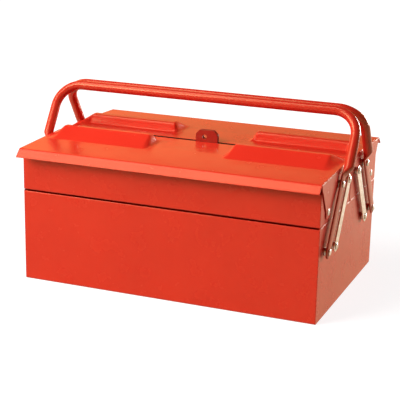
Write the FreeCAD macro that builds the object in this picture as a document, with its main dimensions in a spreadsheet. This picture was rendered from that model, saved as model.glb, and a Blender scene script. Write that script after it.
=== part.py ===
import FreeCAD, Part
import math
import os

import Sketcher

# Cantilever tool box, closed, with its length along X and its front towards -Y.
# The origin is the centre of the underside. Front and rear are mirror images, and so are the ends.
# Every size is in millimetres. A share is a part of another size.
SIZES = {
    # Base
    "box_length": 410.0,
    "box_depth": 268.0,
    "rim_height": 125.0,
    "sheet": 1.0,
    "hem_depth": 8.0,
    "wall_rim_drop": 1.5,
    "end_flange": 9.0,
    "corner_gap": 0.5,
    # Trays, heights above the rim
    "seat_gap": 0.3,
    "tray_wall_rise": 43.5,
    "tray_end_chamfer": 12.0,
    "tray_hem": 6.0,
    "tray_spacing": 3.0,
    # Lids, heights above the rim
    "lip_edge_rise": 47.8,
    "lip_fold_rise": 57.6,
    "lip_edge_overhang": 16.6,
    "lip_fold_overhang": 6.6,
    "lid_floor_rise": 59.2,
    "pod_brow_rise": 72.0,
    "pod_ridge_rise": 71.2,
    "pod_wall_tuck": 0.5,
    "pod_end_slope": 15.0,
    "pod_end_margin": 2.5,
    "pod_inner_half": 60.5,
    "pod_inner_slope": 7.5,
    "lid_end_overhang": 1.6,
    "ear_thickness": 1.0,
    "ear_tip_radius": 8.5,
    "ear_back_rise": 21.5,
    "lid_edge_spacing": 6.0,
    "skirt_depth": 7.0,
    # Hasp tabs
    "hasp_width": 31.6,
    "hasp_shift": 3.0,
    "hasp_thickness": 1.2,
    "hasp_height": 16.5,
    "hasp_chamfer": 6.0,
    "hasp_hole_radius": 3.0,
    "hasp_hole_rise": 7.0,
    "hasp_foot_inset": 0.5,
    "hasp_rivet_spread": 22.0,
    "hasp_rivet_radius": 1.2,
    "hasp_rivet_drop": 3.6,
    "hasp_rivet_recess": 0.1,
    "hasp_tail_radius": 2.2,
    "hasp_tail_height": 0.8,
    # Linkage, heights from the rim
    "arm_base_drop": 36.0,
    "link_base_drop": 39.0,
    "arm_tray_rise": 39.5,
    "hinge_rise": 14.5,
    "stand_off": 3.0,
    "side_play": 0.3,
    "link_width": 14.5,
    "link_thickness": 2.0,
    "open_pivot_play": 0.3,
    # Handles
    "tube_radius": 6.35,
    "grip_spacing": 3.3,
    "bend_radius": 33.0,
    "strap_width": 17.0,
    "strap_thickness": 3.4,
    "strap_above_pivot": 9.0,
    "taper_length": 15.0,
    # Rivets and bushes
    "rivet_radius": 2.5,
    "rivet_head_radius": 4.4,
    "rivet_head_height": 1.8,
    "rivet_tail_radius": 4.0,
    "rivet_tail_height": 1.2,
    "hinge_head_height": 0.9,
    "hinge_head_play": 0.2,
    "bush_radius": 5.0,
    "pivot_play": 0.05,
    "overrun": 1.0,
    # Shares
    "arm_base_share": 0.8134,
    "link_base_share": 0.5410,
    "arm_tray_share": 0.4515,
    "hinge_share": 0.7836,
    "crease_share": 0.5896,
    "brow_share": 0.3500,
    "ridge_share": 0.2813,
    "pod_foot_share": 0.2164,
    "hip_foot_share": 0.2239,
    "recess_front_share": 0.4627,
    "lid_slope_share": 0.03,
    "ear_back_low_share": 0.5149,
    "ear_back_high_share": 0.4925,
    "lip_slope_share": 0.70,
    "fold_tuck_share": 0.41,
    "eighth_turn_share": 0.70710678,
}

FRONT, REAR = -1, 1
LEFT, RIGHT = -1, 1
SIDE_NAMES = {FRONT: "front", REAR: "rear"}
END_NAMES = {LEFT: "left", RIGHT: "right"}
POD, RECESS, END = "pod", "recess", "end"

document = FreeCAD.newDocument("cantilever_tool_box")
sheet_object = document.addObject("Spreadsheet::Sheet", "Sizes")
for row, (alias, value) in enumerate(SIZES.items(), start=1):
    sheet_object.set("A%d" % row, alias)
    sheet_object.set("B%d" % row, str(value))
    sheet_object.setAlias("B%d" % row, alias)
document.recompute()

NODES = []


class Size:
    """A size that keeps both its number and its formula on the sheet."""

    def __init__(self, formula, number):
        self.formula = formula
        self.number = number

    def __add__(self, other):
        other = as_size(other)
        return Size("(%s + %s)" % (self.formula, other.formula), self.number + other.number)

    def __sub__(self, other):
        other = as_size(other)
        return Size("(%s - %s)" % (self.formula, other.formula), self.number - other.number)

    def __mul__(self, other):
        other = as_size(other)
        return Size("(%s * %s)" % (self.formula, other.formula), self.number * other.number)

    def __truediv__(self, other):
        other = as_size(other)
        return Size("(%s / %s)" % (self.formula, other.formula), self.number / other.number)

    def __neg__(self):
        return Size("(-1 * %s)" % self.formula, -self.number)

    __rmul__ = __mul__


def as_size(value):
    """Turns a plain number into a Size, and leaves a Size as it is."""
    if isinstance(value, Size):
        return value
    return Size(str(value), float(value))


def size(alias):
    """The named size on the sheet."""
    return Size("Sizes." + alias, SIZES[alias])


def diagonal(across, along):
    """The length of the straight line that covers both distances."""
    return Size("hypot(%s; %s)" % (across.formula, along.formula), math.hypot(across.number, along.number))


def bind(item, path, value):
    """Ties one property of an object to a formula on the sheet."""
    item.setExpression(path, as_size(value).formula)


# Sizes that follow from the sheet
thickness = size("sheet")
overrun = size("overrun")
half_length = size("box_length") / 2
half_depth = size("box_depth") / 2
rim = size("rim_height")
wall_inside_x = half_length - thickness
strap_face = half_length + size("stand_off")
ear_face = half_length + size("lid_end_overhang") - size("ear_thickness")
lid_end = half_length + size("lid_end_overhang")

arm_base_y = half_depth * size("arm_base_share")
arm_base_z = rim - size("arm_base_drop")
link_base_y = half_depth * size("link_base_share")
link_base_z = rim - size("link_base_drop")
arm_tray_y = half_depth * size("arm_tray_share")
arm_tray_z = rim + size("arm_tray_rise")
link_tray_y = arm_tray_y + link_base_y - arm_base_y
link_tray_z = arm_tray_z + link_base_z - arm_base_z
hinge_y = half_depth * size("hinge_share")
hinge_z = rim + size("hinge_rise")

swing_across = arm_base_y - arm_tray_y
swing_up = arm_tray_z - arm_base_z
arm_length = diagonal(swing_across, swing_up)
lean = Size(
    "atan2(%s; %s)" % (swing_across.formula, swing_up.formula),
    math.degrees(math.atan2(swing_across.number, swing_up.number)),
)
grip_y = size("tube_radius") + size("grip_spacing") / 2
grip_reach = (arm_base_y - grip_y) * arm_length / swing_across

tray_floor = rim + size("seat_gap")
tray_wall_top = rim + size("tray_wall_rise")
tray_inside_y = size("tray_spacing") / 2
lid_floor = rim + size("lid_floor_rise")
skirt_bottom = lid_floor - size("skirt_depth")
tray_end_top = skirt_bottom - size("seat_gap")
lid_edge_y = size("lid_edge_spacing") / 2


def new_body(name):
    """An empty body for one piece."""
    return document.addObject("PartDesign::Body", name)


def sketch_on(body, name, role, shift=None):
    """A sketch on one of the body's own planes, moved along the plane's normal by shift."""
    sketch = body.newObject("Sketcher::SketchObject", name)
    planes = [feature for feature in body.Origin.OriginFeatures if feature.Role == role]
    sketch.AttachmentSupport = (planes[0], [""])
    sketch.MapMode = "FlatFace"
    if shift is not None:
        bind(sketch, "AttachmentOffset.Base.z", shift)
    return sketch


def fix(sketch, kind, geometry, point, value):
    """Holds one coordinate of a point of the sketch, measured from the sketch's origin."""
    value = as_size(value)
    number = sketch.addConstraint(Sketcher.Constraint(kind, -1, 1, geometry, point, value.number))
    if value.number:
        bind(sketch, "Constraints[%d]" % number, value)


def corner(x, y):
    """A corner that a straight edge leaves."""
    return (as_size(x), as_size(y), None, None, 0)


def bend(x, y, centre_x, centre_y, turn):
    """A corner that an arc leaves, counter-clockwise about its centre where turn is positive."""
    return (as_size(x), as_size(y), as_size(centre_x), as_size(centre_y), turn)


def edge_between(start, end):
    """The edge from one corner to the next, and which of its ends is the start."""
    first = FreeCAD.Vector(start[0].number, start[1].number, 0)
    last = FreeCAD.Vector(end[0].number, end[1].number, 0)
    if start[4] == 0:
        return Part.LineSegment(first, last), 1
    centre = FreeCAD.Vector(start[2].number, start[3].number, 0)
    circle = Part.Circle(centre, FreeCAD.Vector(0, 0, 1), (first - centre).Length)
    angles = [math.atan2(point.y - centre.y, point.x - centre.x) for point in (first, last)]
    if start[4] > 0:
        return Part.ArcOfCircle(circle, angles[0], angles[1]), 1
    return Part.ArcOfCircle(circle, angles[1], angles[0]), 2


def draw(sketch, corners, closed=True):
    """Draws the edges through the corners, each corner held by its own sizes."""
    base = sketch.GeometryCount
    count = len(corners) if closed else len(corners) - 1
    starts = []
    for index in range(count):
        start = corners[index]
        end = corners[(index + 1) % len(corners)]
        edge, start_point = edge_between(start, end)
        sketch.addGeometry(edge, False)
        starts.append(start_point)
    for index in range(count):
        following = (index + 1) % len(corners)
        if following < count:
            ends = (base + index, 3 - starts[index], base + following, starts[following])
            sketch.addConstraint(Sketcher.Constraint("Coincident", *ends))
        else:
            fix(sketch, "DistanceX", base + index, 3 - starts[index], corners[following][0])
            fix(sketch, "DistanceY", base + index, 3 - starts[index], corners[following][1])
    for index in range(count):
        fix(sketch, "DistanceX", base + index, starts[index], corners[index][0])
        fix(sketch, "DistanceY", base + index, starts[index], corners[index][1])
    for index in range(count):
        if corners[index][4] == 0:
            continue
        end = corners[(index + 1) % len(corners)]
        across = abs(end[0].number - corners[index][0].number)
        along = abs(end[1].number - corners[index][1].number)
        if across > along:
            fix(sketch, "DistanceY", base + index, 3, corners[index][3])
        else:
            fix(sketch, "DistanceX", base + index, 3, corners[index][2])
    return sketch


def rectangle(half_width, low, high):
    """The corners of a rectangle that is centred across the sketch's own vertical axis."""
    return [
        corner(-half_width, low),
        corner(-half_width, high),
        corner(half_width, high),
        corner(half_width, low),
    ]


def circle_in(sketch, x, y, radius):
    """Adds one circle to the sketch."""
    x, y = as_size(x), as_size(y)
    centre = FreeCAD.Vector(x.number, y.number, 0)
    index = sketch.addGeometry(Part.Circle(centre, FreeCAD.Vector(0, 0, 1), radius.number), False)
    fix(sketch, "DistanceX", index, 3, x)
    fix(sketch, "DistanceY", index, 3, y)
    number = sketch.addConstraint(Sketcher.Constraint("Radius", index, radius.number))
    bind(sketch, "Constraints[%d]" % number, radius)


def pad(body, name, sketch, length, symmetric=False, back=False):
    """Thickens the sketch along its plane's normal."""
    feature = body.newObject("PartDesign::Pad", name)
    feature.Profile = sketch
    feature.SideType = "Symmetric" if symmetric else "One side"
    feature.Reversed = back
    bind(feature, "Length", length)
    return feature


def cut_through(body, name, sketch):
    """Cuts the sketch through the whole body, both ways."""
    feature = body.newObject("PartDesign::Pocket", name)
    feature.Profile = sketch
    feature.Type = "ThroughAll"
    feature.Midplane = True
    return feature


def slab_start(end, near, depth):
    """Where a slab starts along X, for a slab that covers near to near + depth on that end."""
    return near if end == RIGHT else -(near + depth)


def keep(node, item):
    """Notes that the object is a sub-part, under the node's name."""
    item.Label = node
    NODES.append((node, item))


def grouped(node, links):
    """One node that holds several separate solids."""
    group = document.addObject("Part::Compound", node)
    group.Links = links
    keep(node, group)


def both_ends(node, bodies):
    """One node that holds the bodies of the right end and their mirror images at the left end."""
    links = []
    for body in bodies:
        mirrored = document.addObject("Part::Mirroring", body.Name + "_left")
        mirrored.Source = body
        mirrored.Base = FreeCAD.Vector(0, 0, 0)
        mirrored.Normal = FreeCAD.Vector(1, 0, 0)
        links += [body, mirrored]
    grouped(node, links)


def hinge_up(body, side, y, z, tilt=None):
    """Puts a body's origin on a pivot, leaning inwards by tilt."""
    angle = 0 if tilt is None else tilt.number
    turn = FreeCAD.Rotation(FreeCAD.Vector(side, 0, 0), angle)
    body.Placement = FreeCAD.Placement(FreeCAD.Vector(0, side * y.number, z.number), turn)
    bind(body, "Placement.Base.y", side * y)
    bind(body, "Placement.Base.z", z)
    if tilt is not None:
        bind(body, "Placement.Rotation.Angle", tilt)


def turned(name, side, y, z, corners):
    """A piece turned about a pivot's axis: each corner is a place along X and a radius."""
    body = new_body(name)
    sketch = draw(sketch_on(body, name + "_profile", "XY_Plane"), corners)
    feature = body.newObject("PartDesign::Revolution", name + "_turning")
    feature.Profile = sketch
    feature.ReferenceAxis = (sketch, ["H_Axis"])
    hinge_up(body, side, y, z)
    return body


def rivet(name, side, y, z, head_start, head_height):
    """A rivet through the end wall, with its tail inside and its head at head_start."""
    shank = size("rivet_radius")
    tail = size("rivet_tail_radius")
    head = size("rivet_head_radius")
    tail_start = wall_inside_x - size("rivet_tail_height")
    head_end = head_start + head_height
    dome = (head * head - head_height * head_height) / (head_height * 2)
    corners = [
        corner(tail_start, 0),
        corner(tail_start, tail),
        corner(wall_inside_x, tail),
        corner(wall_inside_x, shank),
        corner(head_start, shank),
        bend(head_start, head, head_start - dome, 0, -1),
        corner(head_end, 0),
    ]
    return turned(name, side, y, z, corners)


def bush(name, side, y, z):
    """A spacer that holds a strap off the end wall."""
    far = strap_face - size("side_play")
    corners = [
        corner(half_length, size("rivet_radius")),
        corner(half_length, size("bush_radius")),
        corner(far, size("bush_radius")),
        corner(far, size("rivet_radius")),
    ]
    return turned(name, side, y, z, corners)


def arm_head_start():
    """Where the head of an arm's rivet starts along X."""
    return strap_face + size("strap_thickness") + size("side_play")


def link_head_start():
    """Where the head of a link's rivet starts along X."""
    return strap_face + size("link_thickness") + size("side_play")


def trough(floor, top, hem, outside, inside, side):
    """The section of a tray's pan: outer wall, floor and inner wall, with both rims hemmed."""
    outer = [
        (outside, floor),
        (outside, top),
        (outside - 2 * thickness, top),
        (outside - 2 * thickness, top - hem),
        (outside - thickness, top - hem),
        (outside - thickness, floor + thickness),
    ]
    inner = [
        (inside + thickness, floor + thickness),
        (inside + thickness, top - hem),
        (inside + 2 * thickness, top - hem),
        (inside + 2 * thickness, top),
        (inside, top),
        (inside, floor),
    ]
    return [corner(side * y, z) for y, z in outer + inner]


def channel(outside, inside, floor, top, side):
    """The section of a flange that lines the inside of a trough."""
    places = [
        (outside - thickness, floor + thickness),
        (outside - thickness, top),
        (outside - 2 * thickness, top),
        (outside - 2 * thickness, floor + 2 * thickness),
        (inside + 2 * thickness, floor + 2 * thickness),
        (inside + 2 * thickness, top),
        (inside + thickness, top),
        (inside + thickness, floor + thickness),
    ]
    return [corner(side * y, z) for y, z in places]


def make_base():
    """The open box: one folded sheet, two flanged ends, and what the linkage turns on."""
    wrap = new_body("base_wrap")
    hem = size("hem_depth")
    wall_top = rim - size("wall_rim_drop")
    section = trough(as_size(0), wall_top, hem, half_depth, -half_depth, REAR)
    pad(wrap, "base_wrap_sheet", draw(sketch_on(wrap, "base_section", "YZ_Plane"), section),
        2 * wall_inside_x, symmetric=True)
    keep("base_wrap", wrap)

    flange_top = wall_top - hem - size("corner_gap")
    hem_half = half_depth - 2 * thickness - size("corner_gap")
    for end in (LEFT, RIGHT):
        name = "base_end_" + END_NAMES[end]
        body = new_body(name)
        plate = sketch_on(body, name + "_outline", "YZ_Plane", slab_start(end, wall_inside_x, thickness))
        draw(plate, rectangle(half_depth, as_size(0), rim))
        for side in (FRONT, REAR):
            circle_in(plate, side * arm_base_y, arm_base_z, size("rivet_radius"))
            circle_in(plate, side * link_base_y, link_base_z, size("rivet_radius"))
        pad(body, name + "_plate", plate, thickness)
        flange_start = slab_start(end, wall_inside_x - size("end_flange"), size("end_flange"))
        flange = sketch_on(body, name + "_flange_section", "YZ_Plane", flange_start)
        draw(flange, channel(half_depth, -half_depth, as_size(0), flange_top, REAR))
        pad(body, name + "_flange", flange, size("end_flange"))
        hem_start = slab_start(end, wall_inside_x - thickness, thickness)
        fold = sketch_on(body, name + "_hem_outline", "YZ_Plane", hem_start)
        pad(body, name + "_hem", draw(fold, rectangle(hem_half, rim - hem, rim)), thickness)
        keep(name, body)

    arm_rivets, link_rivets, bushes = [], [], []
    for side in (FRONT, REAR):
        mark = SIDE_NAMES[side]
        arm_rivets.append(rivet("base_arm_rivet_" + mark, side, arm_base_y, arm_base_z,
                                arm_head_start(), size("rivet_head_height")))
        link_rivets.append(rivet("base_link_rivet_" + mark, side, link_base_y, link_base_z,
                                 link_head_start(), size("rivet_head_height")))
        bushes.append(bush("base_arm_bush_" + mark, side, arm_base_y, arm_base_z))
        bushes.append(bush("base_link_bush_" + mark, side, link_base_y, link_base_z))
    both_ends("base_arm_rivets", arm_rivets)
    both_ends("base_link_rivets", link_rivets)
    both_ends("base_bushes", bushes)


def make_tray(side):
    """One upper tray: a folded pan, two flanged ends, and the rivets that it turns on."""
    mark = SIDE_NAMES[side]
    pan = new_body(mark + "_tray_pan")
    section = trough(tray_floor, tray_wall_top, size("tray_hem"), half_depth, tray_inside_y, side)
    pad(pan, mark + "_tray_sheet", draw(sketch_on(pan, mark + "_tray_section", "YZ_Plane"), section),
        2 * wall_inside_x, symmetric=True)
    keep(mark + "_tray_pan", pan)

    flange_top = tray_wall_top - size("tray_hem") - size("corner_gap")
    outline = [
        (half_depth, tray_floor),
        (half_depth, tray_wall_top),
        (half_depth - size("tray_end_chamfer"), tray_end_top),
        (tray_inside_y, tray_end_top),
        (tray_inside_y, tray_floor),
    ]
    for end in (LEFT, RIGHT):
        name = "%s_tray_end_%s" % (mark, END_NAMES[end])
        body = new_body(name)
        plate = sketch_on(body, name + "_outline", "YZ_Plane", slab_start(end, wall_inside_x, thickness))
        draw(plate, [corner(side * y, z) for y, z in outline])
        for y, z in ((arm_tray_y, arm_tray_z), (link_tray_y, link_tray_z), (hinge_y, hinge_z)):
            circle_in(plate, side * y, z, size("rivet_radius"))
        pad(body, name + "_plate", plate, thickness)
        flange_start = slab_start(end, wall_inside_x - size("end_flange"), size("end_flange"))
        flange = sketch_on(body, name + "_flange_section", "YZ_Plane", flange_start)
        draw(flange, channel(half_depth, tray_inside_y, tray_floor, flange_top, side))
        pad(body, name + "_flange", flange, size("end_flange"))
        keep(name, body)

    arm_rivet = rivet(mark + "_tray_arm_rivet", side, arm_tray_y, arm_tray_z,
                      arm_head_start(), size("rivet_head_height"))
    link_rivet = rivet(mark + "_tray_link_rivet", side, link_tray_y, link_tray_z,
                       link_head_start(), size("rivet_head_height"))
    lid_rivet = rivet(mark + "_lid_rivet", side, hinge_y, hinge_z,
                      lid_end + size("hinge_head_play"), size("hinge_head_height"))
    both_ends(mark + "_tray_arm_rivets", [arm_rivet])
    both_ends(mark + "_tray_link_rivets", [link_rivet])
    both_ends(mark + "_lid_rivets", [lid_rivet])
    both_ends(mark + "_tray_bushes", [
        bush(mark + "_tray_arm_bush", side, arm_tray_y, arm_tray_z),
        bush(mark + "_tray_link_bush", side, link_tray_y, link_tray_z),
    ])


def lid_slope_z(y):
    """The height of the lid's sloping field at that distance from the middle of the box."""
    fold_y = half_depth + size("lip_fold_overhang")
    return rim + size("lip_fold_rise") + (fold_y - y) * size("lid_slope_share")


def strip_z(y, far):
    """The height on the straight strip of the lid between its inner edge and its field."""
    return lid_floor + (lid_slope_z(far) - lid_floor) * (y - lid_edge_y) / (far - lid_edge_y)


def lid_profile(form):
    """The four inner corners of the lid's field: on a pod, in the recess, or at the lid's end."""
    recess_front = half_depth * size("recess_front_share")
    if form == POD:
        foot = half_depth * size("pod_foot_share")
        return [
            (half_depth * size("brow_share"), rim + size("pod_brow_rise")),
            (half_depth * size("ridge_share"), rim + size("pod_ridge_rise")),
            (foot, strip_z(foot, recess_front)),
            (lid_edge_y, lid_floor),
        ]
    far = recess_front if form == RECESS else half_depth * size("hip_foot_share")
    step = (far - lid_edge_y) / 3
    return [(far - step * index, strip_z(far - step * index, far)) for index in range(4)]


def lid_section(side, form):
    """The section of a lid's sheet, from the edge of the lip to the skirt and back."""
    fold_y = half_depth + size("lip_fold_overhang")
    fold_z = rim + size("lip_fold_rise")
    edge_y = half_depth + size("lip_edge_overhang")
    edge_z = rim + size("lip_edge_rise")
    crease_y = half_depth * size("crease_share")
    brow, ridge, foot, (inner_y, inner_z) = lid_profile(form)
    tuck = size("pod_wall_tuck") if form == POD else 0
    slant = thickness * size("lip_slope_share")
    places = [
        (edge_y, edge_z),
        (fold_y, fold_z),
        (crease_y, lid_slope_z(crease_y)),
        brow,
        ridge,
        foot,
        (inner_y, inner_z),
        (inner_y, skirt_bottom),
        (inner_y + thickness, skirt_bottom),
        (inner_y + thickness, inner_z - thickness),
        (foot[0] + tuck, foot[1] - thickness),
        (ridge[0] + tuck, ridge[1] - thickness),
        (brow[0], brow[1] - thickness),
        (crease_y, lid_slope_z(crease_y) - thickness),
        (fold_y - thickness * size("fold_tuck_share"), fold_z - thickness),
        (edge_y - slant, edge_z - slant),
    ]
    return [corner(side * y, z) for y, z in places]


def make_lid(side):
    """One lid: a pressed sheet with two pods, two hinge ears, and half of the hasp."""
    mark = SIDE_NAMES[side]
    panel = new_body(mark + "_lid_panel")
    pod_inner = size("pod_inner_half")
    pod_foot = pod_inner - size("pod_inner_slope")
    pod_end = lid_end - size("pod_end_margin")
    stations = [
        (lid_end, END),
        (pod_end, END),
        (pod_end - size("pod_end_slope"), POD),
        (pod_inner, POD),
        (pod_foot, RECESS),
    ]
    places = [(-x, form) for x, form in stations] + list(reversed(stations))
    sections = []
    for index, (x, form) in enumerate(places):
        sketch = sketch_on(panel, "%s_lid_section_%d" % (mark, index), "YZ_Plane", x)
        sections.append(draw(sketch, lid_section(side, form)))
    loft = panel.newObject("PartDesign::AdditiveLoft", mark + "_lid_sheet")
    loft.Profile = sections[0]
    loft.Sections = sections[1:]
    loft.Ruled = True

    hole_z = lid_floor - size("hasp_rivet_drop")
    skirt_far = lid_edge_y + thickness + overrun
    start = skirt_far if side == FRONT else overrun - lid_edge_y
    holes = sketch_on(panel, mark + "_skirt_holes", "XZ_Plane", start)
    for end in (LEFT, RIGHT):
        circle_in(holes, hasp_rivet_x(end), hole_z, size("hasp_rivet_radius"))
    drilled = panel.newObject("PartDesign::Pocket", mark + "_skirt_drilling")
    drilled.Profile = holes
    bind(drilled, "Length", thickness + 2 * overrun)
    keep(mark + "_lid_panel", panel)

    fold_y = half_depth + size("lip_fold_overhang") - thickness * size("fold_tuck_share")
    fold_z = rim + size("lip_fold_rise") - thickness
    tip = size("ear_tip_radius")
    ear_inner = lid_edge_y + thickness
    hip = half_depth * size("hip_foot_share")
    ear_outline = [
        corner(side * fold_y, fold_z),
        bend(side * (hinge_y + tip), hinge_z, side * hinge_y, hinge_z, -side),
        corner(side * (hinge_y - tip), hinge_z),
        corner(side * half_depth * size("ear_back_low_share"), hinge_z + size("ear_back_rise")),
        corner(side * half_depth * size("ear_back_high_share"), skirt_bottom),
        corner(side * ear_inner, skirt_bottom),
        corner(side * ear_inner, strip_z(ear_inner, hip) - thickness),
        corner(side * hip, lid_slope_z(hip) - thickness),
    ]
    for end in (LEFT, RIGHT):
        name = "%s_lid_ear_%s" % (mark, END_NAMES[end])
        body = new_body(name)
        start = slab_start(end, ear_face, size("ear_thickness"))
        sketch = draw(sketch_on(body, name + "_outline", "YZ_Plane", start), ear_outline)
        circle_in(sketch, side * hinge_y, hinge_z, size("rivet_radius") + size("pivot_play"))
        pad(body, name + "_plate", sketch, size("ear_thickness"))
        keep(name, body)

    make_hasp(side, mark, hole_z)


def hasp_rivet_x(end):
    """Where one of the hasp's two rivets is along X."""
    return size("hasp_shift") + size("hasp_rivet_spread") * end / 2


def make_hasp(side, mark, rivet_z):
    """The upright tab of one lid, with its padlock hole, and the two rivets that hold it."""
    left = size("hasp_shift") - size("hasp_width") / 2
    right = size("hasp_shift") + size("hasp_width") / 2
    top = lid_floor + size("hasp_height")
    nick = size("hasp_chamfer")
    near = lid_edge_y - size("hasp_thickness")
    start = near if side == FRONT else -lid_edge_y
    tab = new_body(mark + "_hasp_tab")
    sketch = sketch_on(tab, mark + "_hasp_outline", "XZ_Plane", start)
    draw(sketch, [
        corner(left, skirt_bottom + size("hasp_foot_inset")),
        corner(right, skirt_bottom + size("hasp_foot_inset")),
        corner(right, top - nick),
        corner(right - nick, top),
        corner(left + nick, top),
        corner(left, top - nick),
    ])
    circle_in(sketch, 0, lid_floor + size("hasp_hole_rise"), size("hasp_hole_radius"))
    for end in (LEFT, RIGHT):
        circle_in(sketch, hasp_rivet_x(end), rivet_z, size("hasp_rivet_radius"))
    pad(tab, mark + "_hasp_plate", sketch, size("hasp_thickness"))
    keep(mark + "_hasp_tab", tab)

    head = near + size("hasp_rivet_recess")
    tail = lid_edge_y + thickness
    rivets = []
    for end in (LEFT, RIGHT):
        name = "%s_hasp_rivet_%s" % (mark, END_NAMES[end])
        body = new_body(name)
        profile = draw(sketch_on(body, name + "_profile", "XY_Plane"), [
            corner(0, side * head),
            corner(size("hasp_rivet_radius"), side * head),
            corner(size("hasp_rivet_radius"), side * tail),
            corner(size("hasp_tail_radius"), side * tail),
            corner(size("hasp_tail_radius"), side * (tail + size("hasp_tail_height"))),
            corner(0, side * (tail + size("hasp_tail_height"))),
        ])
        feature = body.newObject("PartDesign::Revolution", name + "_turning")
        feature.Profile = profile
        feature.ReferenceAxis = (profile, ["V_Axis"])
        bind(body, "Placement.Base.x", hasp_rivet_x(end))
        bind(body, "Placement.Base.z", rivet_z)
        rivets.append(body)
    grouped(mark + "_hasp_rivets", rivets)


def strap_section(body, name, end, z):
    """The flattened section of a handle's leg, at one height along the leg."""
    half = size("strap_thickness") / 2
    reach = size("strap_width") / 2 - half
    middle = strap_face + half
    return draw(sketch_on(body, name, "XY_Plane", z), [
        bend(end * (middle + half), reach, end * middle, reach, end),
        corner(end * (middle - half), reach),
        bend(end * (middle - half), -reach, end * middle, -reach, end),
        corner(end * (middle + half), -reach),
    ])


def tube_section(body, name, end, z):
    """The round section of a handle's leg, drawn as four arcs that match the flattened one."""
    middle = strap_face + size("tube_radius")
    eighth = size("tube_radius") * size("eighth_turn_share")
    places = [
        (middle + eighth, eighth),
        (middle - eighth, eighth),
        (middle - eighth, -eighth),
        (middle + eighth, -eighth),
    ]
    return draw(sketch_on(body, name, "XY_Plane", z),
                [bend(end * x, y, end * middle, 0, end) for x, y in places])


def make_handle(side):
    """One handle: a bent tube whose two legs are flattened into the arms of the linkage."""
    name = SIDE_NAMES[side] + "_handle"
    body = new_body(name)
    leg_x = strap_face + size("tube_radius")
    radius = size("bend_radius")
    strap_top = arm_length + size("strap_above_pivot")
    tube_start = strap_top + size("taper_length")
    half_width = size("strap_width") / 2

    route = draw(sketch_on(body, name + "_route", "XZ_Plane"), [
        corner(leg_x, tube_start),
        bend(leg_x, grip_reach - radius, leg_x - radius, grip_reach - radius, 1),
        corner(leg_x - radius, grip_reach),
        bend(radius - leg_x, grip_reach, radius - leg_x, grip_reach - radius, 1),
        corner(-leg_x, grip_reach - radius),
        corner(-leg_x, tube_start),
    ], closed=False)
    round_end = sketch_on(body, name + "_tube_section", "XY_Plane", tube_start)
    circle_in(round_end, leg_x, 0, size("tube_radius"))
    tube = body.newObject("PartDesign::AdditivePipe", name + "_tube")
    tube.Profile = round_end
    tube.Spine = (route, ["Edge%d" % (index + 1) for index in range(route.GeometryCount)])

    for end in (LEFT, RIGHT):
        mark = "%s_%s" % (name, END_NAMES[end])
        flat = strap_section(body, mark + "_flat_section", end, strap_top)
        taper = body.newObject("PartDesign::AdditiveLoft", mark + "_taper")
        taper.Profile = flat
        taper.Sections = [tube_section(body, mark + "_round_section", end, tube_start)]
        strap = strap_section(body, mark + "_strap_section", end, strap_top)
        pad(body, mark + "_strap", strap, strap_top + half_width, back=True)

    far = half_width + overrun
    tail = draw(sketch_on(body, name + "_tail_cut", "YZ_Plane"), [
        corner(-far, 0),
        bend(-half_width, 0, 0, 0, 1),
        corner(half_width, 0),
        corner(far, 0),
        corner(far, -far),
        corner(-far, -far),
    ])
    cut_through(body, name + "_tail_rounding", tail)
    holes = sketch_on(body, name + "_holes", "YZ_Plane")
    for height in (0, arm_length):
        circle_in(holes, 0, height, size("rivet_radius") + size("pivot_play"))
    cut_through(body, name + "_drilling", holes)
    hinge_up(body, side, arm_base_y, arm_base_z, lean)
    keep(name, body)


def make_link(side, end):
    """One plated link, parallel to the arm beside it."""
    name = "%s_link_%s" % (SIDE_NAMES[side], END_NAMES[end])
    body = new_body(name)
    half_width = size("link_width") / 2
    start = slab_start(end, strap_face, size("link_thickness"))
    outline = draw(sketch_on(body, name + "_outline", "YZ_Plane", start), [
        corner(-half_width, 0),
        bend(-half_width, arm_length, 0, arm_length, -1),
        corner(half_width, arm_length),
        bend(half_width, 0, 0, 0, -1),
    ])
    circle_in(outline, 0, 0, size("rivet_radius") + size("pivot_play"))
    circle_in(outline, 0, arm_length, size("rivet_radius") + size("open_pivot_play"))
    pad(body, name + "_plate", outline, size("link_thickness"))
    hinge_up(body, side, link_base_y, link_base_z, lean)
    keep(name, body)


make_base()
for tray_side in (FRONT, REAR):
    make_handle(tray_side)
    make_tray(tray_side)
    make_lid(tray_side)
    for link_end in (LEFT, RIGHT):
        make_link(tray_side, link_end)
document.recompute()

for item in document.Objects:
    if "Invalid" in item.State or "Error" in item.State:
        raise RuntimeError("%s could not be built: %s" % (item.Label, item.State))
for node, item in NODES:
    if item.Shape.isNull() or not item.Shape.isValid():
        raise RuntimeError("%s has no valid shape" % node)

os.makedirs("parts", exist_ok=True)
for node, item in NODES:
    item.Shape.exportStep("parts/%s.step" % node)
    print("%s: %d solids, %.0f cubic mm" % (node, len(item.Shape.Solids), item.Shape.Volume))
grip_z = arm_base_z + grip_reach * swing_up / arm_length
print("Arm length %.2f, lean %.2f degrees" % (arm_length.number, lean.number))
print("Grip height %.2f" % grip_z.number)
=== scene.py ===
"""A red cantilever tool box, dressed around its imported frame: sheet metal, tube handles, links and rivets."""

import logging
import math
from collections.abc import Callable, Sequence
from dataclasses import dataclass
from enum import Enum

import bmesh
import bpy
import numpy as np
from mathutils import Matrix, Vector, geometry


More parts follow.
